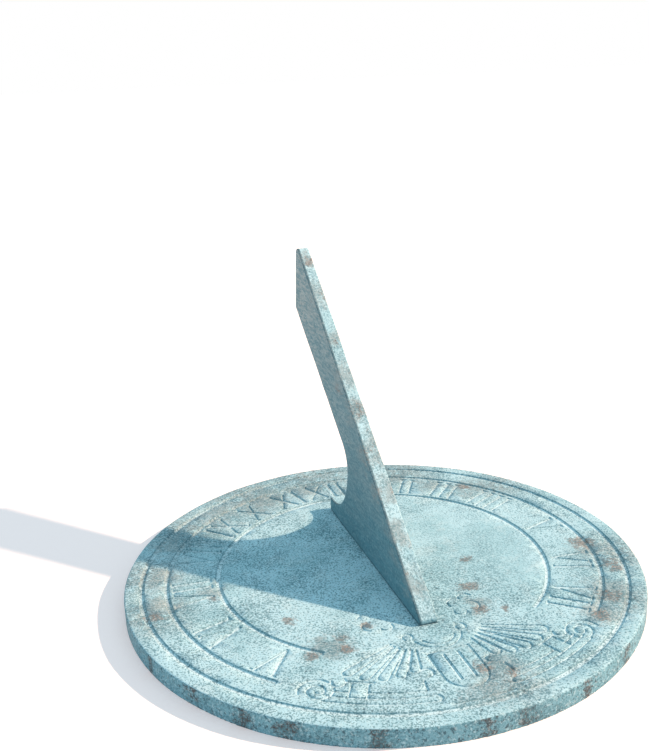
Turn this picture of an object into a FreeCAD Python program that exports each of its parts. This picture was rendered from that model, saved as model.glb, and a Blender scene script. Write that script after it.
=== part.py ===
"""Garden sundial: a round cast dial plate with an engraved chapter ring, and a cast gnomon
screwed to it from beneath.

Frame: origin at the centre of the plate's underside, +Z up, +Y towards noon, and +X to the
right of noon, where the afternoon hours are. Millimetres.
"""
import FreeCAD, Part
import math
import os

import Sketcher
from FreeCAD import Vector

# ---------------------------------------------------------------- driving sizes
SIZES = {
    # dial plate
    "plate_radius": 127.0,
    "plate_thickness": 8.7,
    "edge_round": 0.9,
    "foot_width": 9.0,            # flat rim that the plate stands on
    "relief_depth": 2.2,          # underside is relieved inside that rim
    # engraved circles: each gap is measured inwards from the one before
    "outer_line_inset": 8.4,
    "band_width": 12.0,
    "chapter_width": 25.2,
    "line_width": 2.6,
    "line_depth": 0.8,
    # engraved hour numerals and ornament
    "numeral_height": 18.6,
    "numeral_depth": 0.62,
    "stem_width": 1.9,
    "hair_width": 1.1,
    "serif_width": 3.6,
    "ornament_width": 1.0,
    "ornament_depth": 0.6,
    # mounting bosses under the plate
    "boss_radius": 8.0,
    "boss_circle_radius": 75.0,
    "mount_thread_radius": 3.0,
    "mount_thread_depth": 6.0,
    # gnomon
    "style_angle": 38.5,
    "gnomon_height": 141.2,
    "gnomon_base_thickness": 8.7,
    "gnomon_draft": 0.48,         # casting draft of each side, degrees
    "toe_gap": 21.6,              # toe to the chapter ring's inner line
    "toe_height": 2.6,
    "heel_gap": 12.6,             # heel to the chapter ring's inner line
    "heel_height": 7.6,
    "cove_reach": 32.2,           # how far the cove bites in front of the heel
    "cove_radius": 28.5,
    "shoulder_radius": 17.0,
    "back_angle": 34.6,
    "end_lean": 9.5,
    "tip_radius": 3.6,
    # fixing screws, from beneath
    "screw_radius": 2.0,
    "thread_clearance": 0.05,
    "hole_clearance": 0.3,
    "screw_grip": 8.0,            # thread held in the gnomon
    "thread_runout": 2.0,
    "head_radius": 3.7,
    "head_height": 2.2,
    "counterbore_clearance": 0.8,
    "counterbore_depth": 2.6,
    "washer_thickness": 0.9,
    "washer_width": 1.5,
    "washer_gap": 0.8,
    "slot_width": 1.1,
    "slot_depth": 1.0,
    "south_screw_inset": 22.0,    # from the toe
    "north_screw_inset": 26.0,    # from the heel
}

# Places of the hour numerals, in degrees from noon, one hour to the next.
HOUR_ANGLES = (0.0, 14.6, 29.5, 43.5, 61.0, 86.0, 109.5, 131.0)
AFTERNOON = ("XII", "I", "II", "III", "IIII", "V", "VI", "VII")
MORNING = ("XII", "XI", "X", "IX", "VIII", "VII", "VI", "V")
BAND_LINE_HALF_SWEEP = 136.0      # the two inner circles stop short of the ornament
CHAPTER_LINE_HALF_SWEEP = 142.0
BOSS_COUNT = 3
TOOL_RISE = 1.0                   # how far a cutting solid stands above the face it cuts

doc = FreeCAD.newDocument("GardenSundial")
sheet = doc.addObject("Spreadsheet::Sheet", "Sizes")
for row, (alias, value) in enumerate(SIZES.items(), start=1):
    sheet.set("A%d" % row, alias)
    sheet.set("B%d" % row, str(value))
    sheet.setAlias("B%d" % row, alias)
doc.recompute()


def size(alias):
    """Value of one driving size, read from the sheet."""
    return float(getattr(sheet, alias))


def bind(thing, **properties):
    """Bind properties to expressions; NAME stands for the sheet's cell NAME."""
    for path, expression in properties.items():
        thing.setExpression(path.replace("__", "."), expression)


def cell(alias):
    """Name of a cell inside an expression."""
    return "Sizes." + alias


# ---------------------------------------------------------------- sketch helpers
def origin_plane(body, role):
    """One of a body's own origin planes, by its role."""
    for feature in body.Origin.OriginFeatures:
        if feature.Role == role:
            return feature
    raise ValueError(role)


def new_sketch(body, name, role, offset=None):
    """A sketch on an origin plane of the body, raised by an expression if one is given."""
    sketch = body.newObject("Sketcher::SketchObject", name)
    sketch.AttachmentSupport = [(origin_plane(body, role), "")]
    sketch.MapMode = "FlatFace"
    if offset:
        sketch.setExpression("AttachmentOffset.Base.z", offset)
    return sketch


def add_circle(sketch, radius, radius_expression, centre=(0.0, 0.0)):
    """A circle whose radius follows an expression, fixed where it is drawn."""
    circle = Part.Circle(Vector(centre[0], centre[1], 0), Vector(0, 0, 1), radius)
    index = sketch.addGeometry(circle, False)
    number = sketch.addConstraint(Sketcher.Constraint("Radius", index, radius))
    sketch.setExpression("Constraints[%d]" % number, radius_expression)
    across = sketch.addConstraint(Sketcher.Constraint("DistanceX", -1, 1, index, 3, centre[0]))
    along = sketch.addConstraint(Sketcher.Constraint("DistanceY", -1, 1, index, 3, centre[1]))
    return across, along


def drive(sketch, driven):
    """Add constraints, each with the expression that drives it, if it has one."""
    for constraint, expression in driven:
        number = sketch.addConstraint(constraint)
        if expression:
            sketch.setExpression("Constraints[%d]" % number, expression)


def pad(body, sketch, name, length, **options):
    """Pad a sketch by a length expression."""
    feature = body.newObject("PartDesign::Pad", name)
    feature.Profile = sketch
    for option, value in options.items():
        setattr(feature, option, value)
    feature.setExpression("Length", length)
    doc.recompute()
    return feature


def pocket(body, sketch, name, length, reverse=False):
    """Cut a sketch into the body by a length expression, and check that it cut something."""
    before = body.Shape.Volume
    feature = body.newObject("PartDesign::Pocket", name)
    feature.Profile = sketch
    feature.Reversed = reverse
    feature.setExpression("Length", length)
    doc.recompute()
    if not body.Shape.Volume < before:
        raise RuntimeError("%s cut nothing" % name)
    return feature


# ---------------------------------------------------------------- places worked out once
outer_line_radius = size("plate_radius") - size("outer_line_inset")
band_line_radius = outer_line_radius - size("band_width")
chapter_line_radius = band_line_radius - size("chapter_width")
chapter_middle_radius = (band_line_radius + chapter_line_radius) / 2
toe_y = -(chapter_line_radius - size("toe_gap"))
heel_y = chapter_line_radius - size("heel_gap")
south_screw_y = toe_y + size("south_screw_inset")
north_screw_y = heel_y - size("north_screw_inset")

CHAPTER_LINE = "%s - %s - %s - %s" % tuple(
    cell(name) for name in ("plate_radius", "outer_line_inset", "band_width", "chapter_width"))
TOE = "-(%s - %s)" % (CHAPTER_LINE, cell("toe_gap"))
HEEL = "%s - %s" % (CHAPTER_LINE, cell("heel_gap"))
SCREW_PLACES = {
    "south": (south_screw_y, "%s + %s" % (TOE, cell("south_screw_inset"))),
    "north": (north_screw_y, "%s - %s" % (HEEL, cell("north_screw_inset"))),
}
WASHER_SEAT = "%s + %s" % (cell("relief_depth"), cell("counterbore_depth"))


# ---------------------------------------------------------------- dial plate: the blank
def make_plate_blank():
    """Turned disc with a relieved underside, three mounting bosses and the screw holes."""
    body = doc.addObject("PartDesign::Body", "PlateBlank")
    outline = new_sketch(body, "plate_outline", "XY_Plane")
    add_circle(outline, size("plate_radius"), cell("plate_radius"))
    disc = pad(body, outline, "plate_pad", cell("plate_thickness"))

    top_edge = [
        "Edge%d" % (index + 1)
        for index, edge in enumerate(disc.Shape.Edges)
        if edge.BoundBox.ZMin > size("plate_thickness") / 2
    ]
    rim = body.newObject("PartDesign::Fillet", "rim_round")
    rim.Base = (disc, top_edge)
    rim.setExpression("Radius", cell("edge_round"))
    doc.recompute()

    relief = new_sketch(body, "relief_outline", "XY_Plane")
    add_circle(
        relief, size("plate_radius") - size("foot_width"),
        "%s - %s" % (cell("plate_radius"), cell("foot_width")))
    for number in range(BOSS_COUNT):
        add_circle(relief, size("boss_radius"), cell("boss_radius"), boss_place(number))
    pocket(body, relief, "relief", cell("relief_depth"), reverse=True)

    threads = new_sketch(body, "mount_threads", "XY_Plane")
    for number in range(BOSS_COUNT):
        add_circle(
            threads, size("mount_thread_radius"), cell("mount_thread_radius"), boss_place(number))
    pocket(body, threads, "mount_thread_holes", cell("mount_thread_depth"), reverse=True)

    counterbores = new_sketch(body, "counterbores", "XY_Plane")
    holes = new_sketch(body, "screw_holes", "XY_Plane")
    for place, place_expression in SCREW_PLACES.values():
        for sketch, radius, expression in (
            (
                counterbores, size("head_radius") + size("counterbore_clearance"),
                "%s + %s" % (cell("head_radius"), cell("counterbore_clearance")),
            ),
            (
                holes, size("screw_radius") + size("hole_clearance"),
                "%s + %s" % (cell("screw_radius"), cell("hole_clearance")),
            ),
        ):
            _, along = add_circle(sketch, radius, expression, (0.0, place))
            sketch.setExpression("Constraints[%d]" % along, place_expression)
    pocket(body, counterbores, "screw_counterbores", WASHER_SEAT, reverse=True)
    pocket(body, holes, "screw_clearance_holes", cell("plate_thickness"), reverse=True)
    return body


def boss_place(number):
    """Centre of one mounting boss; the first lies on the noon line."""
    angle = math.radians(90.0 + number * 360.0 / BOSS_COUNT)
    radius = size("boss_circle_radius")
    return radius * math.cos(angle), radius * math.sin(angle)


# ---------------------------------------------------------------- dial plate: the engraving
def prism(wire, depth):
    """Cutting solid under a closed wire, from a depth below the face to just above it."""
    solid = Part.Face(wire).extrude(Vector(0, 0, depth + TOOL_RISE))
    solid.translate(Vector(0, 0, size("plate_thickness") - depth))
    return solid


def bar(start, end, width, depth):
    """Straight engraved stroke between two points."""
    run = (end - start).normalize() * (width / 2)
    side = Vector(-run.y, run.x, 0)
    corners = [start + side, end + side, end - side, start - side]
    return prism(Part.makePolygon(corners + corners[:1]), depth)


def curved_bar(centre, radius, first, last, width, depth):
    """Engraved stroke along an arc, from one angle to another, counter-clockwise degrees."""
    def arc(arc_radius):
        angles = [math.radians(first + (last - first) * share) for share in (0.0, 0.5, 1.0)]
        points = [
            centre + Vector(arc_radius * math.cos(angle), arc_radius * math.sin(angle), 0)
            for angle in angles
        ]
        return Part.Arc(*points).toShape(), points[0], points[2]

    outer, outer_first, outer_last = arc(radius + width / 2)
    inner, inner_first, inner_last = arc(radius - width / 2)
    ends = [
        Part.LineSegment(outer_last, inner_last).toShape(),
        Part.LineSegment(inner_first, outer_first).toShape(),
    ]
    return prism(Part.Wire(Part.__sortEdges__([outer, inner] + ends)), depth)


def glyph_strokes(letter):
    """Strokes of one letter as (start, end, width), and its width, centred on its middle."""
    top = size("numeral_height") / 2
    stem = size("stem_width")
    hair = size("hair_width")
    half = size("numeral_height") * 0.26
    reach = size("serif_width") / 2
    if letter == "I":
        strokes = [((0, -top), (0, top), stem)]
        feet = [(0, -top), (0, top)]
        width = size("serif_width")
    elif letter == "V":
        strokes = [((-half, top), (0, -top), stem), ((half, top), (0, -top), hair)]
        feet = [(-half, top), (half, top)]
        width = 2 * half + reach
    else:
        strokes = [((-half, top), (half, -top), stem), ((half, top), (-half, -top), hair)]
        feet = [(side * half, end * top) for side in (-1, 1) for end in (-1, 1)]
        width = 2 * half + reach
    strokes += [((x - reach, y), (x + reach, y), hair) for x, y in feet]
    return strokes, width


def numeral(text, angle):
    """One hour numeral, standing on the chapter ring with its top outwards."""
    turn = math.radians(angle)
    up = Vector(math.sin(turn), math.cos(turn), 0)
    right = Vector(math.cos(turn), -math.sin(turn), 0)
    letter_gap = size("serif_width") * 0.55
    letters = [glyph_strokes(letter) for letter in text]
    whole = sum(width for _, width in letters) + letter_gap * (len(text) - 1)
    cursor = -whole / 2
    solids = []
    for strokes, width in letters:
        middle = up * chapter_middle_radius + right * (cursor + width / 2)
        for start, end, stroke_width in strokes:
            first = middle + right * start[0] + up * start[1]
            last = middle + right * end[0] + up * end[1]
            solids.append(bar(first, last, stroke_width, size("numeral_depth")))
        cursor += width + letter_gap
    return solids


def numerals():
    """Every hour numeral of the chapter ring."""
    solids = numeral(AFTERNOON[0], HOUR_ANGLES[0])
    for hour in range(1, len(HOUR_ANGLES)):
        solids += numeral(AFTERNOON[hour], HOUR_ANGLES[hour])
        solids += numeral(MORNING[hour], -HOUR_ANGLES[hour])
    return solids


def circle_lines():
    """The three engraved circles; the inner two are open to the south."""
    width = size("line_width")
    depth = size("line_depth")
    height = depth + TOOL_RISE
    base = Vector(0, 0, size("plate_thickness") - depth)
    ring = Part.makeCylinder(outer_line_radius + width / 2, height, base).cut(
        Part.makeCylinder(outer_line_radius - width / 2, height, base))
    centre = Vector(0, 0, 0)
    return [ring] + [
        curved_bar(centre, radius, 90.0 - sweep, 90.0 + sweep, width, depth)
        for radius, sweep in (
            (band_line_radius, BAND_LINE_HALF_SWEEP),
            (chapter_line_radius, CHAPTER_LINE_HALF_SWEEP),
        )
    ]


def fan_spray(side, width, depth):
    """Round-ended blades that spread from beside the tablet towards the scroll's end."""
    root = Vector(side * 9.0, -(chapter_line_radius - 18.5), 0)
    root_half = 0.9
    tip_half = 2.3
    near = 13.0
    solids = []
    for angle, reach in ((20, 27), (31, 31), (42, 35), (53, 38), (64, 40)):
        turn = math.radians(angle)
        along = Vector(side * math.sin(turn), -math.cos(turn), 0)
        across = Vector(-along.y, along.x, 0)
        tip = root + along * reach
        for edge in (-1, 1):
            start = root + along * near + across * (edge * root_half)
            solids.append(bar(start, tip + across * (edge * tip_half), width, depth))
        heading = math.degrees(math.atan2(along.y, along.x))
        solids.append(curved_bar(tip, tip_half, heading - 90, heading + 90, width, depth))
    return solids


def scroll_end(side, width, depth):
    """Volute of half turns that closes up towards its eye."""
    radii = (7.4, 5.6, 3.8, 2.2)
    centre = Vector(side * 61.0, -(band_line_radius - 19.0), 0)
    solids = []
    for number, radius in enumerate(radii):
        upper = number % 2 == 0
        first = 0.0 if upper else 180.0
        solids.append(curved_bar(centre, radius, first, first + 180.0, width, depth))
        if number + 1 < len(radii):
            step = (radius - radii[number + 1]) * (-side if upper else side)
            centre = centre + Vector(step, 0, 0)
    return solids


def ribbon(width, depth):
    """Scroll band under the ornament: two long edges joined by a round end beside the tablet."""
    centre = Vector(0, 0, 0)
    low = band_line_radius + 5.6
    high = band_line_radius + 1.8
    start, end = 9.0, 33.0
    solids = [curved_bar(centre, low + 3.0, 270 - 7, 270 + 7, width, depth)]
    for side in (-1, 1):
        sweep = sorted((270 + side * start, 270 + side * end))
        solids += [curved_bar(centre, radius, *sweep, width, depth) for radius in (low, high)]
        turn = math.radians(270 + side * start)
        middle = Vector(math.cos(turn), math.sin(turn), 0) * ((low + high) / 2)
        first = 270 + side * start + (90 if side < 0 else -90) - 90
        solids.append(curved_bar(middle, (low - high) / 2, first, first + 180, width, depth))
    return solids


def tablet(width, depth):
    """Plain striped tablet with an arched foot, on the noon line under the toe."""
    half = 9.6
    top = -(chapter_line_radius - 1.5)
    foot = -(band_line_radius - 9.0)
    solids = [bar(Vector(-half, top, 0), Vector(half, top, 0), width, depth)]
    for side in (-1, 1):
        solids.append(bar(Vector(side * half, top, 0), Vector(side * half, foot, 0), width, depth))
        solids.append(bar(
            Vector(side * 3.2, top - 2.5, 0), Vector(side * 3.2, foot - 4.0, 0),
            width * 1.5, depth))
    solids.append(curved_bar(Vector(0, foot, 0), half, 180, 360, width, depth))
    return solids


def crest(width, depth):
    """Looped crest above the tablet, and a cloud scroll on each side of the toe."""
    middle = Vector(0, toe_y - 6.5, 0)
    solids = [
        curved_bar(middle, 11.5, 195, 345, width, depth),
        curved_bar(middle, 8.6, 205, 335, width, depth),
    ]
    for side in (-1, 1):
        eye = middle + Vector(side * 12.6, 0.6, 0)
        solids.append(curved_bar(eye, 2.3, -60, 240, width, depth))
        cloud = Vector(side * 19.0, toe_y + 12.0, 0)
        for puff, (across, along, radius, first) in enumerate(
            ((0.0, 0.0, 4.2, 40), (5.6, 3.2, 3.4, 10), (5.8, -4.0, 3.6, -80), (-1.0, -6.6, 3.0, 150))
        ):
            place = cloud + Vector(side * across, along, 0)
            last = first + 170 + puff * 10
            angles = (first, last) if side > 0 else (180 - last, 180 - first)
            solids.append(curved_bar(place, radius, angles[0], angles[1], width, depth))
    return solids


def small_scrolls(width, depth):
    """A C scroll on each side of the tablet's foot, and one under each volute."""
    solids = []
    for side in (-1, 1):
        for across, down, radius, first in ((14.6, 14.4, 2.7, 40), (50.5, 21.5, 3.0, 150)):
            place = Vector(side * across, -(band_line_radius - down), 0)
            angles = (first, first + 250) if side > 0 else (-70 - first, 180 - first)
            solids.append(curved_bar(place, radius, angles[0], angles[1], width, depth))
    return solids


def pedestals(width, depth):
    """A shelf and a capped pedestal on each side, between the fan spray and the ribbon."""
    centre = Vector(0, 0, 0)
    head = band_line_radius - 8.4
    shelf = band_line_radius - 1.6
    foot = band_line_radius + 1.8
    solids = []
    for side in (-1, 1):
        for radius, near, far in ((head, 22.0, 29.0), (shelf, 10.5, 23.5), (shelf, 27.5, 32.0)):
            sweep = sorted((270 + side * near, 270 + side * far))
            solids.append(curved_bar(centre, radius, *sweep, width, depth))
        for bearing, start, end in ((10.5, head, shelf), (23.5, head, foot), (27.5, head, foot)):
            turn = math.radians(270 + side * bearing)
            spoke = Vector(math.cos(turn), math.sin(turn), 0)
            solids.append(bar(spoke * start, spoke * end, width, depth))
    return solids


def ornament():
    """Foliate ornament that fills the south of the chapter ring."""
    width = size("ornament_width")
    depth = size("ornament_depth")
    solids = tablet(width, depth) + crest(width, depth) + ribbon(width, depth)
    solids += small_scrolls(width, depth) + pedestals(width, depth)
    for side in (-1, 1):
        solids += fan_spray(side, width, depth) + scroll_end(side, width, depth)
    return solids


def make_dial_plate():
    """The blank with its engraving cut into the top face.

    Engraved strokes cross and overlap, which the loops of one sketch may not do, so the
    cutting solid is a fusion of one prism for each stroke.
    """
    blank = make_plate_blank()
    strokes = circle_lines() + numerals() + ornament()
    tool = doc.addObject("Part::Feature", "Engraving")
    tool.Shape = strokes[0].multiFuse(strokes[1:])
    plate = doc.addObject("Part::Cut", "DialPlate")
    plate.Label = "dial_plate"
    plate.Base = blank
    plate.Tool = tool
    doc.recompute()
    return plate


# ---------------------------------------------------------------- gnomon
def gnomon_points():
    """Corners and arc centres of the gnomon's side profile, in its own plane."""
    cove_centre_y = heel_y - size("cove_reach") + size("cove_radius")
    drop = math.sqrt(size("cove_radius") ** 2 - (heel_y - cove_centre_y) ** 2)
    cove = Vector(cove_centre_y, size("heel_height") + drop, 0)
    throat = cove - Vector(size("cove_radius"), 0, 0)
    shoulder = throat + Vector(size("shoulder_radius"), 0, 0)

    back = math.radians(size("back_angle"))
    back_run = Vector(math.cos(back), math.sin(back), 0)
    back_start = shoulder + Vector(-back_run.y, back_run.x, 0) * size("shoulder_radius")

    style = math.radians(size("style_angle"))
    style_run = Vector(math.cos(style), math.sin(style), 0)
    style_normal = Vector(style_run.y, -style_run.x, 0)
    toe_top = Vector(toe_y, size("toe_height"), 0)
    tip_z = size("gnomon_height") - size("tip_radius")
    reach = (tip_z - toe_top.y - style_normal.y * size("tip_radius")) / style_run.y
    tip = toe_top + style_run * reach + style_normal * size("tip_radius")
    style_end = tip - style_normal * size("tip_radius")

    end = math.radians(90.0 + size("end_lean"))
    end_run = Vector(math.cos(end), math.sin(end), 0)
    end_top = tip + Vector(end_run.y, -end_run.x, 0) * size("tip_radius")
    gap = end_top - back_start
    along = (gap.x * end_run.y - gap.y * end_run.x) / (
        back_run.x * end_run.y - back_run.y * end_run.x)
    back_end = back_start + back_run * along
    return {
        "cove": cove, "throat": throat, "shoulder": shoulder, "back_start": back_start,
        "back_end": back_end, "end_top": end_top, "tip": tip, "style_end": style_end,
        "toe_top": toe_top,
    }


def arc_of(centre, radius, start, end):
    """Counter-clockwise arc about a centre between two points on it."""
    first = math.atan2(start.y - centre.y, start.x - centre.x)
    last = math.atan2(end.y - centre.y, end.x - centre.x)
    return Part.ArcOfCircle(Part.Circle(centre, Vector(0, 0, 1), radius), first, last)


def draw_gnomon_profile(sketch):
    """Side profile: base, heel, cove, back edge, end, tip round, style edge and toe."""
    at = gnomon_points()
    toe = Vector(toe_y, 0, 0)
    heel = Vector(heel_y, 0, 0)
    heel_top = Vector(heel_y, size("heel_height"), 0)
    sketch.addGeometry([
        Part.LineSegment(toe, heel),
        Part.LineSegment(heel, heel_top),
        arc_of(at["cove"], size("cove_radius"), at["throat"], heel_top),
        arc_of(at["shoulder"], size("shoulder_radius"), at["back_start"], at["throat"]),
        Part.LineSegment(at["back_start"], at["back_end"]),
        Part.LineSegment(at["back_end"], at["end_top"]),
        arc_of(at["tip"], size("tip_radius"), at["end_top"], at["style_end"]),
        Part.LineSegment(at["toe_top"], at["style_end"]),
        Part.LineSegment(at["toe_top"], toe),
    ], False)
    base, heel_face, cove, shoulder, back, end, tip, style, toe_face = range(9)
    fixed = [
        Sketcher.Constraint("Coincident", base, 2, heel_face, 1),
        Sketcher.Constraint("Coincident", heel_face, 2, cove, 2),
        Sketcher.Constraint("Tangent", cove, 1, shoulder, 2),
        Sketcher.Constraint("Tangent", shoulder, 1, back, 1),
        Sketcher.Constraint("Coincident", back, 2, end, 1),
        Sketcher.Constraint("Tangent", end, 2, tip, 1),
        Sketcher.Constraint("Tangent", tip, 2, style, 2),
        Sketcher.Constraint("Coincident", style, 1, toe_face, 1),
        Sketcher.Constraint("Coincident", toe_face, 2, base, 1),
        Sketcher.Constraint("PointOnObject", base, 1, -1),
        Sketcher.Constraint("Horizontal", base),
        Sketcher.Constraint("Vertical", heel_face),
        Sketcher.Constraint("Vertical", toe_face),
        Sketcher.Constraint("Horizontal", cove, 3, shoulder, 3),
    ]
    sketch.addConstraint(fixed)
    driven = [
        (Sketcher.Constraint("DistanceX", base, 1, -1, 1, -toe_y), "-(%s)" % TOE),
        (Sketcher.Constraint("DistanceX", -1, 1, base, 2, heel_y), HEEL),
        (
            Sketcher.Constraint("DistanceY", heel_face, 1, heel_face, 2, size("heel_height")),
            cell("heel_height"),
        ),
        (
            Sketcher.Constraint("DistanceY", toe_face, 2, toe_face, 1, size("toe_height")),
            cell("toe_height"),
        ),
        (Sketcher.Constraint("Radius", cove, size("cove_radius")), cell("cove_radius")),
        (Sketcher.Constraint("Radius", shoulder, size("shoulder_radius")), cell("shoulder_radius")),
        (Sketcher.Constraint("Radius", tip, size("tip_radius")), cell("tip_radius")),
        (
            Sketcher.Constraint("DistanceX", -1, 1, cove, 3, at["cove"].x),
            "%s - %s + %s" % (HEEL, cell("cove_reach"), cell("cove_radius")),
        ),
        (
            Sketcher.Constraint("DistanceY", -1, 1, tip, 3, at["tip"].y),
            "%s - %s" % (cell("gnomon_height"), cell("tip_radius")),
        ),
        (
            Sketcher.Constraint("Angle", back, math.radians(size("back_angle"))),
            "%s * 1 deg" % cell("back_angle"),
        ),
        (
            Sketcher.Constraint("Angle", end, math.radians(90.0 + size("end_lean"))),
            "(90 + %s) * 1 deg" % cell("end_lean"),
        ),
        (
            Sketcher.Constraint("Angle", style, math.radians(size("style_angle"))),
            "%s * 1 deg" % cell("style_angle"),
        ),
    ]
    drive(sketch, driven)


def cut_drafted_side(body, side):
    """Slope one side of the blade inwards from its base by the casting draft."""
    half = size("gnomon_base_thickness") / 2
    height = size("gnomon_height") + TOOL_RISE
    lean = height * math.tan(math.radians(size("gnomon_draft")))
    foot = Vector(side * half, 0, 0)
    outer_foot = Vector(side * (half + TOOL_RISE), 0, 0)
    outer_top = Vector(side * (half + TOOL_RISE), height, 0)
    top = Vector(side * (half - lean), height, 0)
    name = "draft_outline_%s" % ("east" if side > 0 else "west")
    sketch = new_sketch(body, name, "XZ_Plane")
    sketch.addGeometry([
        Part.LineSegment(foot, outer_foot),
        Part.LineSegment(outer_foot, outer_top),
        Part.LineSegment(outer_top, top),
        Part.LineSegment(foot, top),
    ], False)
    base, outside, head, slope = range(4)
    sketch.addConstraint([
        Sketcher.Constraint("Coincident", base, 2, outside, 1),
        Sketcher.Constraint("Coincident", outside, 2, head, 1),
        Sketcher.Constraint("Coincident", head, 2, slope, 2),
        Sketcher.Constraint("Coincident", slope, 1, base, 1),
        Sketcher.Constraint("PointOnObject", base, 1, -1),
        Sketcher.Constraint("Horizontal", base),
        Sketcher.Constraint("Vertical", outside),
        Sketcher.Constraint("Horizontal", head),
    ])
    from_axis = ("DistanceX", -1, 1, base, 1) if side > 0 else ("DistanceX", base, 1, -1, 1)
    clear = ("DistanceX", base, 1, base, 2) if side > 0 else ("DistanceX", base, 2, base, 1)
    driven = [
        (Sketcher.Constraint(*from_axis, half), "%s / 2" % cell("gnomon_base_thickness")),
        (Sketcher.Constraint(*clear, TOOL_RISE), None),
        (
            Sketcher.Constraint("DistanceY", outside, 1, outside, 2, height),
            "%s + %s" % (cell("gnomon_height"), TOOL_RISE),
        ),
        (
            Sketcher.Constraint("Angle", slope, math.radians(90 + side * size("gnomon_draft"))),
            "(90 + %d * %s) * 1 deg" % (side, cell("gnomon_draft")),
        ),
    ]
    drive(sketch, driven)
    feature = body.newObject("PartDesign::Pocket", name.replace("outline", "cut"))
    feature.Profile = sketch
    feature.Type = "ThroughAll"
    feature.SideType = "Symmetric"
    before = body.Shape.Volume
    doc.recompute()
    if not body.Shape.Volume < before:
        raise RuntimeError("%s cut nothing" % feature.Label)


def make_gnomon():
    """Cast gnomon: an upright blade with drafted sides and two tapped holes in its base."""
    body = doc.addObject("PartDesign::Body", "Gnomon")
    body.Label = "gnomon"
    profile = new_sketch(body, "gnomon_profile", "YZ_Plane")
    draw_gnomon_profile(profile)
    pad(body, profile, "gnomon_blade", cell("gnomon_base_thickness"), SideType="Symmetric")

    for side in (-1, 1):
        cut_drafted_side(body, side)

    threads = new_sketch(body, "gnomon_threads", "XY_Plane")
    for place, place_expression in SCREW_PLACES.values():
        _, along = add_circle(
            threads, size("screw_radius") + size("thread_clearance"),
            "%s + %s" % (cell("screw_radius"), cell("thread_clearance")), (0.0, place))
        threads.setExpression("Constraints[%d]" % along, place_expression)
    pocket(
        body, threads, "gnomon_thread_holes",
        "%s + %s" % (cell("screw_grip"), cell("thread_runout")), reverse=True)
    body.setExpression("Placement.Base.z", cell("plate_thickness"))
    return body


# ---------------------------------------------------------------- fixings
def cylinder(name, radius, height, base_z):
    """Part cylinder on the Z axis, each size an expression."""
    thing = doc.addObject("Part::Cylinder", name)
    bind(thing, Radius=radius, Height=height, Placement__Base__z=base_z)
    return thing


def boolean(kind, name, base, tool):
    """Cut or fuse two objects."""
    thing = doc.addObject("Part::" + kind, name)
    thing.Base = base
    thing.Tool = tool
    return thing


def place_at_screw(thing, end):
    """Stand a fixing on the axis of one screw, its origin on the counterbore's seat."""
    thing.setExpression("Placement.Base.y", SCREW_PLACES[end][1])
    thing.setExpression("Placement.Base.z", WASHER_SEAT)


def make_screw(end):
    """Slotted cheese-head screw, head down, drawn from the seat of its washer."""
    head_top = "-%s" % cell("washer_thickness")
    head_base = "-(%s + %s)" % (cell("washer_thickness"), cell("head_height"))
    shank_length = "%s + %s - (%s) + %s" % (
        cell("washer_thickness"), cell("plate_thickness"), WASHER_SEAT, cell("screw_grip"))
    head = cylinder("Head_" + end, cell("head_radius"), cell("head_height"), head_base)
    shank = cylinder("Shank_" + end, cell("screw_radius"), shank_length, head_top)
    solid = boolean("Fuse", "Blank_" + end, head, shank)
    slot = doc.addObject("Part::Box", "Slot_" + end)
    bind(
        slot, Length="2.5 * " + cell("head_radius"), Width=cell("slot_width"),
        Height=cell("slot_depth"), Placement__Base__x="-1.25 * " + cell("head_radius"),
        Placement__Base__y="-%s / 2" % cell("slot_width"), Placement__Base__z=head_base)
    screw = boolean("Cut", "Screw_" + end, solid, slot)
    screw.Label = "gnomon_screw_" + end
    place_at_screw(screw, end)
    return screw


def make_lock_washer(end):
    """Split spring washer, flattened under the screw's head."""
    base = "-%s" % cell("washer_thickness")
    bore = "%s + %s" % (cell("screw_radius"), cell("thread_clearance"))
    outer = cylinder(
        "WasherOuter_" + end, "%s + %s" % (bore, cell("washer_width")),
        cell("washer_thickness"), base)
    inner = cylinder("WasherBore_" + end, bore, cell("washer_thickness"), base)
    ring = boolean("Cut", "WasherRing_" + end, outer, inner)
    split = doc.addObject("Part::Box", "WasherSplit_" + end)
    bind(
        split, Length="2 * (%s + %s)" % (cell("head_radius"), cell("washer_width")),
        Width=cell("washer_gap"), Height=cell("washer_thickness"),
        Placement__Base__y="-%s / 2" % cell("washer_gap"), Placement__Base__z=base)
    washer = boolean("Cut", "Washer_" + end, ring, split)
    washer.Label = "lock_washer_" + end
    place_at_screw(washer, end)
    return washer


# ---------------------------------------------------------------- build, check and write
def build():
    """Every sub-part of the sundial."""
    nodes = [make_dial_plate(), make_gnomon()]
    for end in SCREW_PLACES:
        nodes.append(make_screw(end))
        nodes.append(make_lock_washer(end))
    doc.recompute()
    return nodes


def check(nodes):
    """Stop if any object failed to recompute, or a sub-part isn't one sound solid."""
    for thing in doc.Objects:
        if "Invalid" in thing.State or "Error" in thing.State:
            raise RuntimeError("%s: %s" % (thing.Label, thing.State))
    for node in nodes:
        shape = node.Shape
        if shape.isNull() or not shape.isValid() or len(shape.Solids) != 1:
            raise RuntimeError("%s has no single valid solid" % node.Label)


def write(nodes):
    """Write each sub-part to its own file."""
    os.makedirs("parts", exist_ok=True)
    for node in nodes:
        node.Shape.exportStep("parts/%s.step" % node.Label)
        box = node.Shape.BoundBox
        print("%-20s volume %10.1f  x %.2f..%.2f  y %.2f..%.2f  z %.2f..%.2f" % (
            node.Label, node.Shape.Volume,
            box.XMin, box.XMax, box.YMin, box.YMax, box.ZMin, box.ZMax))


parts = build()
check(parts)
write(parts)
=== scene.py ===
"""Garden sundial: the looks of a weathered cast dial plate, its gnomon and their fixings."""

import logging
import math
from dataclasses import dataclass
from enum import Enum
from typing import Optional, Union

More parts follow.
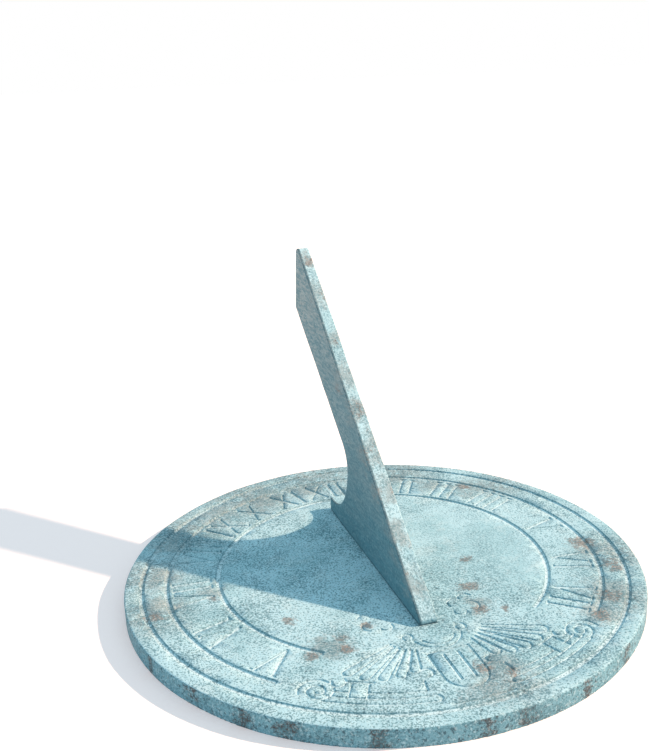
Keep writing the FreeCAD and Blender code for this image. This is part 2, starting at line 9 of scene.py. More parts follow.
import bpy
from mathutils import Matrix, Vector


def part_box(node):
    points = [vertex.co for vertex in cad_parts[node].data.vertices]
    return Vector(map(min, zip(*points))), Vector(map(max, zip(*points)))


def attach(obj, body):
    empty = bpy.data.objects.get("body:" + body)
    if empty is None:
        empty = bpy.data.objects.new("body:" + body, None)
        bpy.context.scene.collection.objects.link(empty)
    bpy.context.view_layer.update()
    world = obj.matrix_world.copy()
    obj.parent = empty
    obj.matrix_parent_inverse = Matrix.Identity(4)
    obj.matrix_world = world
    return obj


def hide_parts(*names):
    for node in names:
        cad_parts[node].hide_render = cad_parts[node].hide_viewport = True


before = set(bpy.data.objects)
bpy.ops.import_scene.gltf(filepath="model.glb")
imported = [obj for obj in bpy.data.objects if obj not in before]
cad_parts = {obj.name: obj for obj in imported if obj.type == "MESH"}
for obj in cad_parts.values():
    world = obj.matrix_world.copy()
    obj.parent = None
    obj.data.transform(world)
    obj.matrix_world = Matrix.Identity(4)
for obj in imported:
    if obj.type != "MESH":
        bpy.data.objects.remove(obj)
logging.basicConfig(level=logging.INFO, format="%(message)s")
LOG = logging.getLogger("sundial")

MM = 0.001
# Corners of a CAD node nearer each other than this are one.
WELD_MM = 0.001
Tree = bpy.types.NodeTree
Socket = bpy.types.NodeSocket
Colour = tuple[float, float, float, float]
Value = Union[float, tuple, Vector, Socket]
Spot = tuple[Vector, float]


# ---------------------------------------------------------------- small tools
def linear(colour: str) -> Colour:
    """Turn an sRGB hex colour into the linear colour a shader takes.

    Args:
        colour: sRGB colour such as "#9ac1cd".

    Returns:
        Linear red, green, blue and an alpha of 1.
    """
    channels = [int(colour[place:place + 2], 16) / 255 for place in (1, 3, 5)]
    return tuple(
        c / 12.92 if c <= 0.04045 else ((c + 0.055) / 1.055) ** 2.4 for c in channels) + (1.0,)


def pattern(size_mm: float) -> float:
    """Scale of a texture whose cells are this many millimetres across."""
    return 1.0 / (size_mm * MM)


def add(tree: Tree, kind: str, inputs: Optional[dict[Union[int, str], Value]] = None,
        **settings: object) -> bpy.types.Node:
    """Add a node with its settings, socket values and links.

    Args:
        tree: the material's or world's node tree.
        kind: the node's type, without its ShaderNode prefix.
        inputs: socket name or number to a value, or to the socket that feeds it.
        settings: the node's own properties.

    Returns:
        The new node.
    """
    node = tree.nodes.new("ShaderNode" + kind)
    for name, value in settings.items():
        setattr(node, name, value)
    for socket, value in (inputs or {}).items():
        if isinstance(value, Socket):
            tree.links.new(value, node.inputs[socket])
        else:
            node.inputs[socket].default_value = value
    return node


def start_material(name: str) -> Tree:
    """Make a node material with an empty tree.

    Args:
        name: the material's name.

    Returns:
        The material's node tree.
    """
    material = bpy.data.materials.new(name)
    material.use_nodes = True
    material.node_tree.nodes.clear()
    return material.node_tree


def wear_material(piece: bpy.types.Object, name: str) -> None:
    """Make the named material the piece's only one."""
    piece.data.materials.clear()
    piece.data.materials.append(bpy.data.materials[name])


def choose(piece: bpy.types.Object) -> None:
    """Select one object only and make it active.

    Args:
        piece: the object to select.
    """
    bpy.ops.object.select_all(action="DESELECT")
    piece.select_set(True)
    bpy.context.view_layer.objects.active = piece


def modify(piece: bpy.types.Object, kind: str, **settings: object) -> None:
    """Add a modifier to a piece with its settings and apply it.

    Args:
        piece: the object to change.
        kind: the modifier's type.
        settings: the modifier's properties.
    """
    choose(piece)
    modifier = piece.modifiers.new(kind.title(), kind)
    for name, value in settings.items():
        setattr(modifier, name, value)
    bpy.ops.object.modifier_apply(modifier=modifier.name)


# ---------------------------------------------------------------- surface patterns
@dataclass(frozen=True)
class Patches:
    """Irregular patches of a real size, which start and fill at two levels of noise."""

    size_mm: float
    start: float
    full: float
    strength: float = 1.0
    detail: float = 4.0
    roughness: float = 0.7

    def mask(self, tree: Tree, where: Socket, push: Value = 0.0) -> Socket:
        """Mask of the patches.

        Args:
            tree: the material's node tree.
            where: coordinates in metres.
            push: amount that brings the noise nearer the levels.

        Returns:
            The mask, from 0 to the patches' strength.
        """
        noise = add(tree, "TexNoise", {
            "Vector": where, "Scale": pattern(self.size_mm), "Detail": self.detail,
            "Roughness": self.roughness}).outputs["Fac"]
        pushed = add(tree, "Math", {0: noise, 1: push}, operation="ADD").outputs[0]
        return add(tree, "MapRange", {
            "Value": pushed, "From Min": self.start, "From Max": self.full,
            "To Max": self.strength}, interpolation_type="SMOOTHSTEP").outputs["Result"]


def lay(tree: Tree, colour: Value, tone: Value, *masks: Value) -> Socket:
    """Lay a tone over a colour where every mask holds.

    Args:
        tree: the material's node tree.
        colour: the colour underneath.
        tone: the colour to lay on.
        masks: shares of the tone, multiplied together.

    Returns:
        The mixed colour.
    """
    share = masks[0]
    for mask in masks[1:]:
        share = add(tree, "Math", {0: share, 1: mask}, operation="MULTIPLY").outputs[0]
    # Sockets 6 and 7 and output 2 are the ones that carry colours.
    return add(tree, "Mix", {0: share, 6: colour, 7: tone}, data_type="RGBA").outputs[2]


def near(tree: Tree, where: Socket, spots: list[Spot]) -> Socket:
    """Mask that is 1 in the middle of each spot and fades out to its reach.

    Args:
        tree: the material's node tree.
        where: coordinates in metres.
        spots: middle and reach of each spot, in metres.

    Returns:
        The mask.
    """
    mask: Value = 0.0
    for middle, reach in spots:
        gap = add(tree, "VectorMath", {0: where, 1: middle}, operation="DISTANCE")
        fade = add(tree, "MapRange", {
            "Value": gap.outputs["Value"], "From Min": reach, "From Max": 0.0},
            interpolation_type="SMOOTHSTEP")
        mask = add(tree, "Math", {0: mask, 1: fade.outputs["Result"]},
                   operation="MAXIMUM").outputs[0]
    return mask


class Tone(Enum):
    """Colours of copper salts, bare bronze and soil on an old casting, some of them also used as
    painted shade and painted light.
    """

    CYAN = "#afd9e4"
    TEAL = "#9ac8d3"
    CHALK = "#c0dde2"
    LIME = "#c9e9f1"
    SOIL = "#507d89"
    PIT = "#39545e"
    WASH = "#87989a"
    DUST = "#92a8ac"
    BRONZE = "#8c8077"
    UMBER = "#6e6259"
    SOOT = "#4b5352"
    EDGE = "#6a9dab"
    FLANK_LOW = "#4f8390"
    FLANK_HIGH = "#949f9e"
    STAIN = "#45403e"

    @property
    def colour(self) -> Colour:
        """The tone as a linear colour."""
        return linear(self.value)


@dataclass(frozen=True)
class Verdigris:
    """Powdery pale blue crust on bronze: cloudy, sandy with dark specks, brown where thin."""

    clouds: Patches = Patches(40.0, 0.42, 0.60, strength=0.8)
    bloom: Patches = Patches(12.0, 0.50, 0.68, strength=0.45, detail=6.0)
    thin: Patches = Patches(6.0, 0.60, 0.80, strength=0.7, detail=7.0, roughness=0.82)
    bare: Patches = Patches(8.0, 0.64, 0.74, strength=0.8, detail=7.0, roughness=0.86)
    bare_tones: Patches = Patches(3.0, 0.45, 0.58)
    drift: Patches = Patches(17.0, 0.38, 0.64, strength=0.085, detail=5.0)
    # The powder's own grains are too fine to show, so frost and specks are drawn coarser.
    frost: Patches = Patches(1.3, 0.52, 0.62, strength=0.4, detail=3.0)
    flecks: Patches = Patches(2.8, 0.57, 0.70, strength=0.28, roughness=0.78)
    specks: Patches = Patches(0.95, 0.53, 0.62, strength=0.78, detail=2.0, roughness=0.75)
    # How far the noise is brought towards its levels in the middle of a worn place.
    gather: float = 0.28
    pits_mm: float = 2.5
    # Shares of a cell at which a pit starts and at which it is full.
    pit_reach: tuple[float, float] = (0.32, 0.12)
    # Share of the drift's strength at which pits start to show.
    pit_drift: float = 0.3
    pit_share: float = 0.6
    pit_depth: float = 0.6
    grain_mm: float = 1.5
    grain_detail: float = 4.0
    grain_roughness: float = 0.7
    bump_mm: float = 0.22
    specular: float = 0.25
    roughness: float = 0.8
    bare_roughness: float = 0.6

    def crust(self, tree: Tree, where: Socket) -> Socket:
        """Cloudy colour of the crust with its chalky bloom."""
        colour = lay(
            tree, Tone.CYAN.colour, Tone.TEAL.colour, self.clouds.mask(tree, where))
        return lay(tree, colour, Tone.CHALK.colour, self.bloom.mask(tree, where))

    def pits(self, tree: Tree, where: Socket, drift: Socket) -> Socket:
        """Mask of small round pits that gather in drifts.

        Args:
            tree: the material's node tree.
            where: coordinates in metres.
            drift: mask of the places where they gather.

        Returns:
            The mask.
        """
        cells = add(tree, "TexVoronoi", {"Vector": where, "Scale": pattern(self.pits_mm)})
        dots = add(tree, "MapRange", {
            "Value": cells.outputs["Distance"], "From Min": self.pit_reach[0],
            "From Max": self.pit_reach[1]},
            interpolation_type="SMOOTHSTEP").outputs["Result"]
        gathered = add(tree, "MapRange", {
            "Value": drift, "From Min": self.pit_drift * self.drift.strength,
            "From Max": self.drift.strength}).outputs["Result"]
        return add(tree, "Math", {0: dots, 1: gathered}, operation="MULTIPLY").outputs[0]

    def finish(self, tree: Tree, where: Socket, colour: Socket, thin: Value, bare: Value,
               sand: Value, rubbed: Socket) -> None:
        """Thin and bare the crust, sprinkle its specks, and join the shader.

        Args:
            tree: the material's node tree.
            where: coordinates in metres.
            colour: the crust's colour.
            thin: mask of the places where brown shows through.
            bare: mask of the places worn to the metal.
            sand: share of the specks' strength.
            rubbed: coordinates of the wear, drawn out the way the piece was rubbed.
        """
        drift = self.drift.mask(tree, where)
        colour = lay(tree, colour, Tone.WASH.colour, self.thin.mask(
            tree, rubbed, add(
                tree, "Math", {0: thin, 1: self.gather}, operation="MULTIPLY").outputs[0]))
        worn = self.bare.mask(
            tree, rubbed, add(
                tree, "Math", {0: bare, 1: self.gather}, operation="MULTIPLY").outputs[0])
        metal = lay(
            tree, Tone.UMBER.colour, Tone.BRONZE.colour, self.bare_tones.mask(tree, where))
        colour = lay(tree, colour, metal, worn)
        colour = lay(tree, colour, Tone.CHALK.colour, self.frost.mask(tree, where), sand)
        colour = lay(tree, colour, Tone.SOIL.colour, self.flecks.mask(tree, where, drift), sand)
        colour = lay(tree, colour, Tone.SOIL.colour, self.specks.mask(tree, where, drift), sand)
        pits = self.pits(tree, where, drift)
        colour = lay(tree, colour, Tone.PIT.colour, pits, sand, self.pit_share)
        grain = add(tree, "TexNoise", {
            "Vector": where, "Scale": pattern(self.grain_mm), "Detail": self.grain_detail,
            "Roughness": self.grain_roughness}).outputs["Fac"]
        height = add(tree, "Math", {0: pits, 1: -self.pit_depth, 2: grain},
                     operation="MULTIPLY_ADD").outputs[0]
        bump = add(tree, "Bump", {"Height": height, "Distance": self.bump_mm * MM})
        rough = add(tree, "MapRange", {
            "Value": worn, "To Min": self.roughness, "To Max": self.bare_roughness})
        shader = add(tree, "BsdfPrincipled", {
            "Base Color": colour, "Roughness": rough.outputs["Result"],
            "Normal": bump.outputs["Normal"], "Specular IOR Level": self.specular})
        output = add(tree, "OutputMaterial")
        tree.links.new(shader.outputs["BSDF"], output.inputs["Surface"])


# ---------------------------------------------------------------- castings
@dataclass
class Casting:
    """A cast piece made from its CAD node: edges and engraving softened as sand casting does."""

    node: str
    name: str
    voxel_mm: float
    smooth_turns: int
    swell_mm: float
    swell_size_mm: float
    triangles: int
    smooth_factor: float = 0.5

    def build(self) -> bpy.types.Object:
        """Copy, weld, remesh, soften and thin the piece.

        Returns:
            The finished object.
        """
        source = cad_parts[self.node]
        piece = bpy.data.objects.new(self.name, source.data.copy())
        bpy.context.scene.collection.objects.link(piece)
        choose(piece)
        bpy.ops.object.mode_set(mode="EDIT")
        bpy.ops.mesh.select_all(action="SELECT")
        bpy.ops.mesh.remove_doubles(threshold=WELD_MM * MM)
        bpy.ops.object.mode_set(mode="OBJECT")
        voxel = self.voxel_mm * MM * 1.0
        modify(piece, "REMESH", mode="VOXEL", voxel_size=voxel, adaptivity=0.0)
        modify(piece, "SMOOTH", factor=self.smooth_factor, iterations=self.smooth_turns)
        self.swell(piece)
        faces = sum(len(polygon.vertices) - 2 for polygon in piece.data.polygons)
        modify(piece, "DECIMATE", ratio=min(1.0, self.triangles / faces))
        choose(piece)
        bpy.ops.object.shade_smooth()
        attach(piece, "root")
        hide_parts(self.node)
        LOG.info("%s: %d triangles", self.name, len(piece.data.polygons))
        return piece

    def swell(self, piece: bpy.types.Object) -> None:
        """Give the flat faces the slight unevenness of a sand mould.

        Args:
            piece: the casting.
        """
        texture = bpy.data.textures.new(self.name + "_sand", "CLOUDS")
        texture.noise_scale = self.swell_size_mm * MM
        texture.noise_depth = 0
        modify(
            piece, "DISPLACE", texture=texture, strength=self.swell_mm * MM, mid_level=0.5,
            texture_coords="LOCAL")


@dataclass
class DialPlate(Casting):
    """The round plate with its engraved circles, numerals and ornament."""

    node: str = "dial_plate"
    name: str = "dial_plate_cast"
    voxel_mm: float = 0.3
    smooth_turns: int = 1
    swell_mm: float = 0.3
    swell_size_mm: float = 26.0
    triangles: int = 195000
    edge_mm: float = 1.6
    stains: Patches = Patches(5.0, 0.62, 0.72, strength=0.9, detail=6.0, roughness=0.85)
    edge_specks: Patches = Patches(1.6, 0.54, 0.60, strength=0.9, detail=3.0, roughness=0.75)
    grit: Patches = Patches(1.4, 0.51, 0.59, strength=0.8, detail=3.0, roughness=0.75)
    stain_gather: float = 0.22
    # Upright part of the normal at which a groove's wall or bottom starts and is full.
    walls: tuple[float, float] = (0.88, 0.55)
    bottoms: tuple[float, float] = (0.74, 0.9)
    # Depths under the top face between which the lime in the engraving builds up.
    sunk_mm: tuple[float, float] = (0.2, 0.36)
    engraved_mm: float = 2.0
    # Distances in from the rim over which the top face and the edge take over.
    top_fade_mm: float = 0.6
    edge_fade_mm: tuple[float, float] = (1.1, 0.5)
    soil_and_shade_share: float = 0.52
    lime_share: float = 0.9
    edge_share: float = 0.92
    smooth_sand: float = 0.5
    dust: Patches = Patches(4.0, 0.36, 0.56, strength=0.85, detail=5.0)
    # Middle and reach of worn places on the top face, in millimetres from the plate's axis.
    bare_places: tuple[tuple[float, float, float], ...] = (
        (88, -67, 13), (74, -82, 11), (42, -12, 8), (30, -37, 11), (9, -97, 10), (18, -103, 7),
        (-57, -34, 8), (-26, -50, 8), (-39, -56, 8), (-56, -63, 8), (-40, -65, 8),
        (-115, -9, 10), (102, -18, 14), (104, -44, 12), (27, -57, 9), (38, -60, 6), (-86, -2, 6),
        (78, 68, 8),
    )
    thin_places: tuple[tuple[float, float, float], ...] = (
        (90, -62, 26), (76, 66, 24), (14, -97, 20), (76, -80, 22), (104, -24, 18), (28, -52, 16),
        (-111, 0, 20), (-108, 28, 20), (-38, 94, 30), (-66, 84, 26), (-10, 100, 22),
        (60, 78, 20), (-46, -60, 20), (-84, 6, 16), (-96, 62, 22), (40, 96, 20), (0, -112, 18),
    )
    smooth_places: tuple[tuple[float, float, float], ...] = ((42, 12, 60), (62, -22, 40))
    dusty_places: tuple[tuple[float, float, float], ...] = (
        (0, 116, 46), (20, 88, 28), (-46, 104, 46), (-88, 74, 40), (-112, 32, 36), (-116, -6, 30),
        (112, -34, 30), (92, -72, 22), (50, 104, 34), (14, -110, 22), (96, 62, 26),
    )
    # Bearing in degrees and reach in millimetres of each stain on the plate's edge.
    stains_at: tuple[tuple[float, float], ...] = (
        (-178, 8), (-159, 10), (-143, 12), (-134, 10), (-122, 8),
        (-108, 5), (118, 7), (146, 7), (160, 6), (174, 9))

    def dress(self, piece: bpy.types.Object, finish: Verdigris) -> None:
        """Give the plate its crust, its chalky engraving with painted shade on its walls, and its
        stained side, painted darker partly as shade.

        Args:
            piece: the plate.
            finish: the crust.
        """
        _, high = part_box(self.node)
        top, radius = high[2], high[0]
        tree = start_material("verdigris_plate")
        where = add(tree, "TexCoord").outputs["Object"]
        place = add(tree, "SeparateXYZ", {0: where}).outputs
        flat = add(tree, "CombineXYZ", {0: place[0], 1: place[1]}).outputs[0]
        from_axis = add(tree, "VectorMath", {0: flat}, operation="LENGTH").outputs["Value"]
        normal = add(tree, "NewGeometry").outputs["Normal"]
        lift = add(tree, "Math", {0: add(tree, "SeparateXYZ", {0: normal}).outputs[2]},
                   operation="ABSOLUTE").outputs[0]
        steep = add(tree, "MapRange", {
            "Value": lift, "From Min": self.walls[0], "From Max": self.walls[1]}).outputs["Result"]
        level = add(tree, "MapRange", {
            "Value": lift, "From Min": self.bottoms[0], "From Max": self.bottoms[1]}).outputs["Result"]
        sunk = add(tree, "MapRange", {
            "Value": place[2], "From Min": top - self.sunk_mm[0] * MM,
            "From Max": top - self.sunk_mm[1] * MM})
        inside = add(tree, "MapRange", {
            "Value": from_axis, "From Min": radius - self.edge_mm * MM,
            "From Max": radius - (self.edge_mm + self.top_fade_mm) * MM}).outputs["Result"]
        upper = add(tree, "Math", {0: place[2], 1: top - self.engraved_mm * MM},
                    operation="GREATER_THAN").outputs[0]
        edge = add(tree, "MapRange", {
            "Value": from_axis, "From Min": radius - self.edge_fade_mm[0] * MM,
            "From Max": radius - self.edge_fade_mm[1] * MM}).outputs["Result"]

        colour = finish.crust(tree, where)
        # Soil and painted shade darken the walls of the engraving, and lime whitens its bottom.
        colour = lay(tree, colour, Tone.SOIL.colour, steep, inside, upper, self.soil_and_shade_share)
        colour = lay(tree, colour, Tone.LIME.colour, sunk.outputs["Result"], level, inside,
                     upper, self.lime_share)
        # The plate's side is painted darker and bluer, partly as painted shade, with dark specks.
        colour = lay(tree, colour, Tone.EDGE.colour, steep, edge, self.edge_share)
        colour = lay(
            tree, colour, Tone.PIT.colour, self.edge_specks.mask(tree, where), steep, edge)
        # Grey dust and soot lie in the bands of the chapter ring.
        dusty = self.places(tree, where, self.dusty_places, top)
        colour = lay(tree, colour, Tone.DUST.colour, self.dust.mask(tree, where), dusty)
        colour = lay(tree, colour, Tone.SOOT.colour, self.grit.mask(tree, where), dusty)
        stained = self.stains.mask(tree, where, self.stain_push(tree, flat, radius))
        colour = lay(tree, colour, Tone.STAIN.colour, stained, steep, edge)
        smooth = self.places(tree, where, self.smooth_places, top)
        sand = add(tree, "MapRange", {
            "Value": smooth, "To Min": 1.0, "To Max": self.smooth_sand})
        finish.finish(
            tree, where, colour, self.places(tree, where, self.thin_places, top),
            self.places(tree, where, self.bare_places, top), sand.outputs["Result"], where)
        wear_material(piece, "verdigris_plate")

    def places(self, tree: Tree, where: Socket,
               spots: tuple[tuple[float, float, float], ...], top: float) -> Socket:
        """Mask of round places on the top face.

        Args:
            tree: the material's node tree.
            where: coordinates in metres.
            spots: middle and reach of each place, in millimetres from the plate's axis.
            top: height of the top face in metres.

        Returns:
            The mask.
        """
        return near(tree, where, [
            (Vector((x * MM, y * MM, top)), reach * MM) for x, y, reach in spots])

    def stain_push(self, tree: Tree, flat: Socket, radius: float) -> Socket:
        """How strongly each bearing of the plate's edge gathers stains.

        Args:
            tree: the material's node tree.
            flat: coordinates in metres, without their height.
            radius: the plate's radius in metres.

        Returns:
            The amount that brings the stains' noise nearer its levels.
        """
        spots = []
        for bearing, reach in self.stains_at:
            turn = math.radians(bearing)
            middle = Vector((math.sin(turn), math.cos(turn), 0.0)) * radius
            spots.append((middle, reach * MM))
        gathered = near(tree, flat, spots)
        return add(tree, "Math", {0: gathered, 1: self.stain_gather},
                   operation="MULTIPLY").outputs[0]


@dataclass
class Gnomon(Casting):
    """The upright blade whose sloping style edge casts the shadow."""

    node: str = "gnomon"
    name: str = "gnomon_cast"
    voxel_mm: float = 0.34
    smooth_turns: int = 3
    swell_mm: float = 0.3
    swell_size_mm: float = 22.0
    triangles: int = 90000
    style_angle: float = 38.5
    draft: float = 0.48
    streaks: Patches = Patches(6.0, 0.30, 0.70, detail=5.0, roughness=0.75)
    grit: Patches = Patches(1.3, 0.44, 0.58, strength=0.75, detail=3.0, roughness=0.75)
    # How squarely a face looks the way the style edge does, where each mask starts and is full.
    flank_facing: tuple[float, float] = (0.75, 0.35)
    style_facing: tuple[float, float] = (0.6, 0.92)
    turning_facing: tuple[float, float] = (0.12, 0.3)
    # Distances in from the west flank and up from the foot over which the painted shade builds up.
    arris_mm: tuple[float, float] = (1.3, 0.9)
    seam_mm: tuple[float, float] = (1.5, 0.6)
    streak_stretch: float = 0.22
    streak_share: float = 0.35
    # Share of the height over which the flanks' painted light grows, and how far it is held back.
    pale_height: float = 0.8
    pale_shift: float = 0.2
    flank_share: float = 0.9
    painted_shade_share: float = 0.85
    chalk_share: float = 0.35
    bare_share: float = 0.5
    sand_shares: tuple[float, float] = (0.5, 0.7)
    # Brown smears along the style: share of the way from toe to tip, and reach in millimetres.
    smears: tuple[tuple[float, float], ...] = (
        (0.08, 14), (0.19, 20), (0.30, 18), (0.40, 24), (0.50, 18), (0.60, 20), (0.70, 14),
        (0.84, 22), (0.95, 12))

    def dress(self, piece: bpy.types.Object, finish: Verdigris) -> None:
        """Give the blade its crust: pale along the style, greyer and smoother on its flanks, with
        painted shade low on the flanks, in the seam at the foot and along the west arris.

        Args:
            piece: the gnomon.
            finish: the crust.
        """
        low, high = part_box(self.node)
        slope = math.radians(self.style_angle)
        tree = start_material("verdigris_gnomon")
        where = add(tree, "TexCoord").outputs["Object"]
        place = add(tree, "SeparateXYZ", {0: where}).outputs
        normal = add(tree, "NewGeometry").outputs["Normal"]
        facing = add(tree, "VectorMath", {
            0: normal, 1: (0.0, -math.sin(slope), math.cos(slope))}, operation="DOT_PRODUCT")
        flank = add(tree, "MapRange", {
            "Value": facing.outputs["Value"], "From Min": self.flank_facing[0],
            "From Max": self.flank_facing[1]})
        style = add(tree, "MapRange", {
            "Value": facing.outputs["Value"], "From Min": self.style_facing[0],
            "From Max": self.style_facing[1]})
        drawn_out = add(tree, "Mapping", {
            "Vector": where, "Rotation": (-slope, 0.0, 0.0),
            "Scale": (1.0, self.streak_stretch, 1.0)})
        streaks = self.streaks.mask(tree, drawn_out.outputs["Vector"])
        # The flanks are painted darker at the foot and paler higher up: painted shade below and
        # painted light from the floor above, over real streaks.
        rise = add(tree, "MapRange", {
            "Value": place[2], "From Min": low[2],
            "From Max": low[2] + self.pale_height * (high[2] - low[2])})
        paler = add(tree, "Math", {
            0: streaks, 1: self.streak_share, 2: rise.outputs["Result"]}, operation="MULTIPLY_ADD")
        paler = add(tree, "Math", {0: paler.outputs[0], 1: self.pale_shift}, operation="SUBTRACT",
                    use_clamp=True).outputs[0]
        side = lay(tree, Tone.FLANK_LOW.colour, Tone.FLANK_HIGH.colour, paler)
        colour = lay(
            tree, finish.crust(tree, where), side, flank.outputs["Result"], self.flank_share)
        taper = math.tan(math.radians(self.draft))
        arris = add(tree, "Math", {0: place[2], 1: -taper, 2: place[0]},
                    operation="MULTIPLY_ADD").outputs[0]
        arris = add(tree, "MapRange", {
            "Value": arris, "From Min": low[0] - low[2] * taper + self.arris_mm[0] * MM,
            "From Max": low[0] - low[2] * taper + self.arris_mm[1] * MM}).outputs["Result"]
        turning = add(tree, "MapRange", {
            "Value": facing.outputs["Value"], "From Min": self.turning_facing[0],
            "From Max": self.turning_facing[1]})
        grit = self.grit.mask(tree, drawn_out.outputs["Vector"])
        colour = lay(tree, colour, Tone.SOIL.colour, grit, flank.outputs["Result"])
        seam = add(tree, "MapRange", {
            "Value": place[2], "From Min": low[2] + self.seam_mm[0] * MM,
            "From Max": low[2] + self.seam_mm[1] * MM})
        # Painted shade darkens the seam round the foot and the west arris of the style, which turns
        # away from the key light.
        colour = lay(
            tree, colour, Tone.PIT.colour, seam.outputs["Result"], self.painted_shade_share)
        colour = lay(tree, colour, Tone.CHALK.colour, style.outputs["Result"], streaks,
                     self.chalk_share)
        colour = lay(
            tree, colour, Tone.PIT.colour, arris, turning.outputs["Result"], self.painted_shade_share)
        smeared = near(tree, where, self.smear_spots(low, slope))
        sand = add(tree, "MapRange", {
            "Value": style.outputs["Result"], "To Min": self.sand_shares[0],
            "To Max": self.sand_shares[1]})
        finish.finish(
            tree, where, colour, smeared,
            add(tree, "Math", {0: smeared, 1: self.bare_share},
                operation="MULTIPLY").outputs[0],
            sand.outputs["Result"], drawn_out.outputs["Vector"])
        wear_material(piece, "verdigris_gnomon")

    def smear_spots(self, low: Vector, slope: float) -> list[Spot]:
        """Middle and reach of each smear, placed along the style.

        Args:
            low: the lowest corner of the gnomon's box, in metres.
            slope: the style's angle in radians.

        Returns:
            The smears, in metres.
        """
        _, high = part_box(self.node)
        length = (high[2] - low[2]) / math.sin(slope)
        along = Vector((0.0, math.cos(slope), math.sin(slope))) * length
        toe = Vector((0.0, low[1], low[2]))
        return [(toe + along * share, reach * MM) for share, reach in self.smears]


@dataclass(frozen=True)
class TurnedMetal:
    """Dull metal of a turned screw or a sprung washer, with fine lathe marks and tarnish."""

    name: str
    bright: str
    tarnish: str
    film: Patches = Patches(2.2, 0.38, 0.64, detail=5.0, roughness=0.65)
    # Lathe marks are finer than this, and are drawn as coarse as they need to show.
    mark_mm: float = 0.35
    mark_stretch: float = 0.15
    mark_strength: float = 0.4
    mark_depth_mm: float = 0.03
    roughness: float = 0.42
    tarnish_roughness: float = 0.67

    def build(self) -> str:
        """Make the material.

        Returns:
            The material's name.
        """
        tree = start_material(self.name)
        where = add(tree, "TexCoord").outputs["Object"]
        film = self.film.mask(tree, where)
        colour = lay(tree, linear(self.bright), linear(self.tarnish), film)
        squashed = add(tree, "Mapping", {
            "Vector": where, "Scale": (self.mark_stretch, self.mark_stretch, 1.0)})
        marks = add(tree, "TexNoise", {
            "Vector": squashed.outputs["Vector"], "Scale": pattern(self.mark_mm)})
        bump = add(tree, "Bump", {
            "Height": marks.outputs["Fac"], "Strength": self.mark_strength,
            "Distance": self.mark_depth_mm * MM})
        rough = add(tree, "MapRange", {
            "Value": film, "To Min": self.roughness, "To Max": self.tarnish_roughness})
        shader = add(tree, "BsdfPrincipled", {
            "Base Color": colour, "Metallic": 1.0, "Roughness": rough.outputs["Result"],
            "Normal": bump.outputs["Normal"]})
        output = add(tree, "OutputMaterial")
        tree.links.new(shader.outputs["BSDF"], output.inputs["Surface"])
        return self.name


@dataclass
class Fixings:
    """The screws and spring washers under the plate, shown as their CAD nodes."""

    screw: TurnedMetal = TurnedMetal("dull_brass", "#b59a63", "#7c6a48")
    washer: TurnedMetal = TurnedMetal("spring_bronze", "#a5795a", "#6b5a4a")

    def dress(self) -> None:
        """Give each fixing its metal."""
        metals = {"gnomon_screw": self.screw.build(), "lock_washer": self.washer.build()}
        for name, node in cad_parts.items():
            for start, metal in metals.items():
                if name.startswith(start):
                    wear_material(node, metal)
                    LOG.info("%s: %s", name, metal)


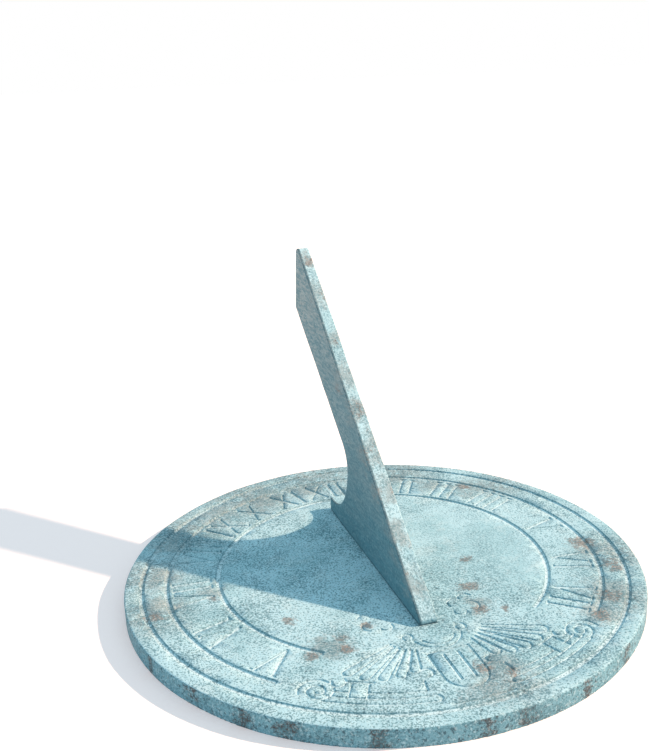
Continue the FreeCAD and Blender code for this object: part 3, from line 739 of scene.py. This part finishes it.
# ---------------------------------------------------------------- studio
@dataclass
class Studio:
    """Pale floor, low warm key light, cool even fill and the camera."""

    floor_m: float = 60.0
    # The floor's colour and those of the lights are linear.
    floor_tone: Colour = (0.9, 0.9, 0.9, 1.0)
    # Direction towards the key light, whose spread is in degrees.
    to_key: tuple[float, float, float] = (1.62, -0.366, 1.0)
    key_strength: float = 5.8
    key_colour: tuple[float, float, float] = (1.0, 0.63, 0.45)
    key_spread: float = 1.6
    fill: Colour = (0.52, 0.684, 0.774, 1.0)
    glow: Colour = (0.248, 0.152, 0.126, 1.0)
    # Place from the middle of the top face in plate radii, and turn in degrees.
    camera_from_plate: tuple[float, float, float] = (-1.1509, -3.1764, 1.8546)
    camera_turn: tuple[float, float, float] = (72.429, 2.469, -17.491)
    lens_mm: float = 45.84

    def build(self) -> None:
        """Make the whole studio."""
        self.lay_floor()
        self.light()
        self.place_camera()

    def lay_floor(self) -> None:
        """A wide floor that fades to white."""
        bpy.ops.object.select_all(action="DESELECT")
        bpy.ops.mesh.primitive_plane_add(size=self.floor_m, location=(0.0, 0.0, 0.0))
        floor = bpy.context.active_object
        floor.name = "floor"
        tree = start_material("pale_floor")
        shader = add(tree, "BsdfPrincipled", {
            "Base Color": self.floor_tone, "Roughness": 1.0, "Specular IOR Level": 0.0,
            "Emission Color": self.glow, "Emission Strength": 1.0})
        output = add(tree, "OutputMaterial")
        tree.links.new(shader.outputs["BSDF"], output.inputs["Surface"])
        wear_material(floor, "pale_floor")

    def light(self) -> None:
        """One distant key light, and a sky that lights coolly but looks white."""
        lamp = bpy.data.lights.new("key", "SUN")
        lamp.energy = self.key_strength
        lamp.color = self.key_colour
        lamp.angle = math.radians(self.key_spread)
        key = bpy.data.objects.new("key", lamp)
        key.rotation_euler = Vector(self.to_key).to_track_quat("Z", "Y").to_euler()
        bpy.context.scene.collection.objects.link(key)

        world = bpy.data.worlds.new("studio")
        world.use_nodes = True
        tree = world.node_tree
        tree.nodes.clear()
        seen = add(tree, "Background", {"Color": (1.0, 1.0, 1.0, 1.0)})
        lit = add(tree, "Background", {"Color": self.fill})
        mix = add(tree, "MixShader", {
            0: add(tree, "LightPath").outputs["Is Camera Ray"],
            1: lit.outputs[0], 2: seen.outputs[0]})
        output = add(tree, "OutputWorld")
        tree.links.new(mix.outputs[0], output.inputs["Surface"])
        bpy.context.scene.world = world
        bpy.context.scene.view_settings.view_transform = "Standard"

    def place_camera(self) -> None:
        """The camera, placed from the plate's own radius."""
        _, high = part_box("dial_plate")
        data = bpy.data.cameras.new("camera")
        data.lens = self.lens_mm
        camera = bpy.data.objects.new("camera", data)
        away = Vector(self.camera_from_plate) * high[0]
        camera.location = away + Vector((0.0, 0.0, high[2]))
        camera.rotation_euler = [math.radians(angle) for angle in self.camera_turn]
        bpy.context.scene.collection.objects.link(camera)
        bpy.context.scene.camera = camera


def main() -> None:
    """Build the studio, the castings and the fixings."""
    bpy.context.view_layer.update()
    Studio().build()
    finish = Verdigris()
    plate = DialPlate()
    plate.dress(plate.build(), finish)
    gnomon = Gnomon()
    gnomon.dress(gnomon.build(), finish)
    Fixings().dress()


if __name__ == "__main__":
    main()
